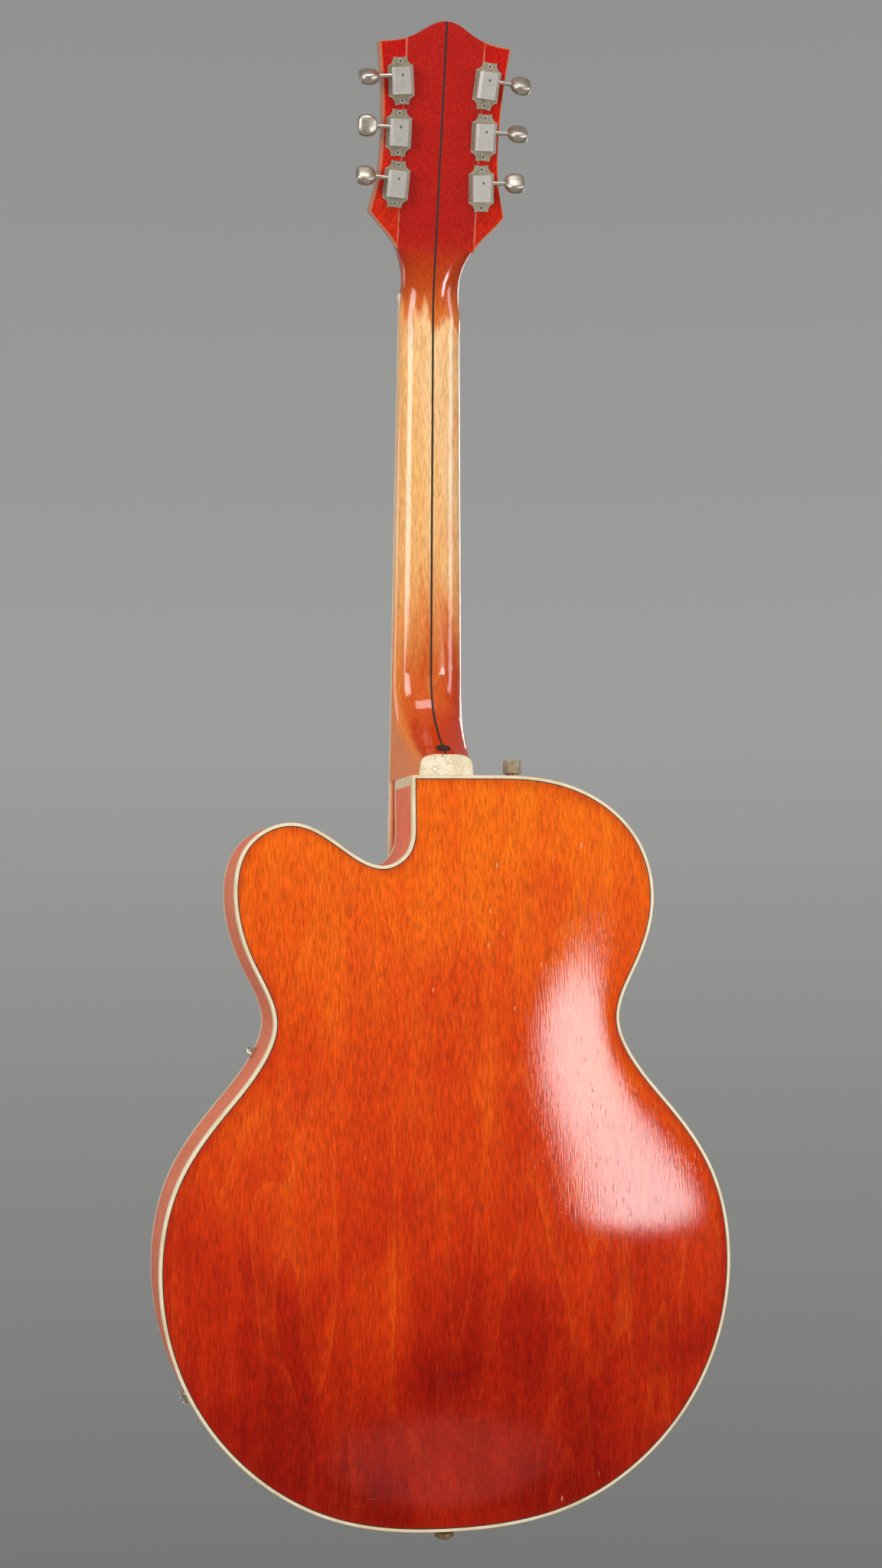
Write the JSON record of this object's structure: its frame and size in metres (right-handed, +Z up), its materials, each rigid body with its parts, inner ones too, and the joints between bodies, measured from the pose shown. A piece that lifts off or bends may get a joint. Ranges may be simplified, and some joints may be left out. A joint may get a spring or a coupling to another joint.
{
  "type": "archtop guitar",
  "caption": "Hollow-body archtop guitar with one round cutaway, laminated neck, geared tuners, floating bridge and trapeze tailpiece; played on a strap or hung by its headstock.",
  "frame": {"origin": "on the centre line, in the middle of the headstock's thickness, just under its flare, where a wall hanger holds it", "axes": "+Z up the neck along the body's length, +Y out of the back, +X to the treble side"},
  "size_m": [0.406, 0.1399, 1.075],
  "materials": {
    "amber_maple": "amber gloss lacquer, aged",
    "rim_maple": "reddish satin lacquer",
    "neck_maple": "amber lacquer, worn to bare wood",
    "dark_wood": "dark stained strip",
    "red_maple": "reddish lacquer",
    "raw_spruce": "bare wood",
    "black_veneer": "black gloss",
    "rosewood": "oiled",
    "ivory_plastic": "aged ivory",
    "black_plastic": "black",
    "pearl": "pearl",
    "bone": "bone",
    "aged_nickel": "aged nickel plate",
    "steel": "plain steel",
    "aged_brass": "tarnished brass",
    "wire_cover": "cloth covered wire"
  },
  "bodies": {
    "tuner_button_1": {"tuner_button_1": "aged_nickel"},
    "string_post_1": {"string_post_1": "aged_nickel"},
    "tuner_button_2": {"tuner_button_2": "aged_nickel"},
    "string_post_2": {"string_post_2": "aged_nickel"},
    "tuner_button_3": {"tuner_button_3": "aged_nickel"},
    "string_post_3": {"string_post_3": "aged_nickel"},
    "tuner_button_4": {"tuner_button_4": "aged_nickel"},
    "string_post_4": {"string_post_4": "aged_nickel"},
    "tuner_button_5": {"tuner_button_5": "aged_nickel"},
    "string_post_5": {"string_post_5": "aged_nickel"},
    "tuner_button_6": {"tuner_button_6": "aged_nickel"},
    "string_post_6": {"string_post_6": "aged_nickel"},
    "saddle": {"bridge_saddle": "rosewood"},
    "thumbwheel_bass": {"bridge_thumbwheel_bass": "aged_nickel"},
    "thumbwheel_treble": {"bridge_thumbwheel_treble": "aged_nickel"},
    "volume_knob": {"volume_knob": "black_plastic"},
    "tone_knob": {"tone_knob": "black_plastic"},
    "strap_knob": {"strap_knob": "aged_nickel"},
    "guitar": {"back_binding": "ivory_plastic", "back_plate": "amber_maple", "bridge_base": "rosewood", "bridge_studs": "aged_nickel", "cutaway_strip": "ivory_plastic", "end_blocks": "raw_spruce", "end_pin": "aged_brass", "fingerboard": "rosewood", "fingerboard_binding": "ivory_plastic", "fret_markers": "pearl", "frets": "steel", "headstock_veneer": "black_veneer", "headstock_wings": "red_maple", "heel_cap": "ivory_plastic", "heel_plug": "dark_wood", "jack_nut": "aged_nickel", "linings": "raw_spruce", "neck_bass_half": "neck_maple", "neck_centre_strip": "dark_wood", "neck_treble_half": "neck_maple", "nut": "bone", "output_jack": "aged_nickel", "pickguard": "black_plastic", "pickguard_bracket": "aged_nickel", "pickup_coil": "black_plastic", "pickup_ring": "black_plastic", "purfling_lines": "black_plastic", "rim": "rim_maple", "strap_stud": "aged_brass", "strings": "steel", "tailpiece_hanger": "aged_nickel", "tailpiece_trapeze": "aged_nickel", "tone_bars": "raw_spruce", "top_binding": "ivory_plastic", "top_plate": "amber_maple", "truss_rod": "steel", "truss_rod_cover": "black_plastic", "tuner_bushings": "aged_nickel", "tuner_covers": "aged_nickel", "tuner_plates": "aged_nickel", "tuner_screws": "aged_nickel", "wiring_harness": "wire_cover"}
  },
  "joints": [
    {"name": "tuner_button_1_turn", "type": "hinge", "parent": "guitar", "child": "tuner_button_1", "pos_m": [-0.03091, 0.02304, 0.02985], "axis": [-0.9986, 0.0157, 0.0499], "continuous": true},
    {"name": "string_post_1_turn", "type": "hinge", "parent": "guitar", "child": "string_post_1", "pos_m": [-0.03127, 0.0162, 0.02478], "axis": [0, 0.9537, -0.3007], "continuous": true},
    {"name": "tuner_button_2_turn", "type": "hinge", "parent": "guitar", "child": "tuner_button_2", "pos_m": [-0.0311, 0.03372, 0.06371], "axis": [-1, 0, 0], "continuous": true},
    {"name": "string_post_2_turn", "type": "hinge", "parent": "guitar", "child": "string_post_2", "pos_m": [-0.0311, 0.02687, 0.05863], "axis": [0, 0.9537, -0.3007], "continuous": true},
    {"name": "tuner_button_3_turn", "type": "hinge", "parent": "guitar", "child": "tuner_button_3", "pos_m": [-0.03145, 0.04439, 0.09755], "axis": [-0.9954, -0.0288, -0.0914], "continuous": true},
    {"name": "string_post_3_turn", "type": "hinge", "parent": "guitar", "child": "string_post_3", "pos_m": [-0.03079, 0.03755, 0.0925], "axis": [0, 0.9537, -0.3007], "continuous": true},
    {"name": "tuner_button_4_turn", "type": "hinge", "parent": "guitar", "child": "tuner_button_4", "pos_m": [0.03145, 0.04439, 0.09755], "axis": [0.9954, -0.0288, -0.0914], "continuous": true},
    {"name": "string_post_4_turn", "type": "hinge", "parent": "guitar", "child": "string_post_4", "pos_m": [0.03079, 0.03755, 0.0925], "axis": [0, 0.9537, -0.3007], "continuous": true},
    {"name": "tuner_button_5_turn", "type": "hinge", "parent": "guitar", "child": "tuner_button_5", "pos_m": [0.0311, 0.03372, 0.06371], "axis": [1, 0, 0], "continuous": true},
    {"name": "string_post_5_turn", "type": "hinge", "parent": "guitar", "child": "string_post_5", "pos_m": [0.0311, 0.02687, 0.05863], "axis": [0, 0.9537, -0.3007], "continuous": true},
    {"name": "tuner_button_6_turn", "type": "hinge", "parent": "guitar", "child": "tuner_button_6", "pos_m": [0.03091, 0.02304, 0.02985], "axis": [0.9986, 0.0157, 0.0499], "continuous": true},
    {"name": "string_post_6_turn", "type": "hinge", "parent": "guitar", "child": "string_post_6", "pos_m": [0.03127, 0.0162, 0.02478], "axis": [0, 0.9537, -0.3007], "continuous": true},
    {"name": "saddle_height", "type": "slide", "parent": "guitar", "child": "saddle", "axis": [0, -1, 0], "range_m": [-0.0016, 0]},
    {"name": "thumbwheel_bass_turn", "type": "hinge", "parent": "saddle", "child": "thumbwheel_bass", "pos_m": [-0.037, -0.08825, -0.67709], "axis": [0, -1, 0], "range_deg": [-720, 0]},
    {"name": "thumbwheel_treble_turn", "type": "hinge", "parent": "saddle", "child": "thumbwheel_treble", "pos_m": [0.037, -0.08825, -0.67709], "axis": [0, -1, 0], "range_deg": [-720, 0]},
    {"name": "volume_knob_turn", "type": "hinge", "parent": "guitar", "child": "volume_knob", "pos_m": [0.12789, -0.05256, -0.79715], "axis": [0, -1, 0], "range_deg": [-150, 150]},
    {"name": "tone_knob_turn", "type": "hinge", "parent": "guitar", "child": "tone_knob", "pos_m": [0.08729, -0.05146, -0.84955], "axis": [0, -1, 0], "range_deg": [-150, 150]},
    {"name": "strap_knob_turn", "type": "hinge", "parent": "guitar", "child": "strap_knob", "pos_m": [-0.0555, -0.01029, -0.39687], "axis": [0, 0, 1], "range_deg": [0, 180]}
  ],
  "couplings": [
    {"joint": "string_post_1_turn", "follows": "tuner_button_1_turn", "ratio": 0.066667},
    {"joint": "string_post_2_turn", "follows": "tuner_button_2_turn", "ratio": 0.066667},
    {"joint": "string_post_3_turn", "follows": "tuner_button_3_turn", "ratio": 0.066667},
    {"joint": "string_post_4_turn", "follows": "tuner_button_4_turn", "ratio": 0.066667},
    {"joint": "string_post_5_turn", "follows": "tuner_button_5_turn", "ratio": 0.066667},
    {"joint": "string_post_6_turn", "follows": "tuner_button_6_turn", "ratio": 0.066667},
    {"joint": "saddle_height", "follows": "thumbwheel_bass_turn", "m_per_rad": 0.00012732},
    {"joint": "thumbwheel_treble_turn", "follows": "thumbwheel_bass_turn", "ratio": 1}
  ]
}
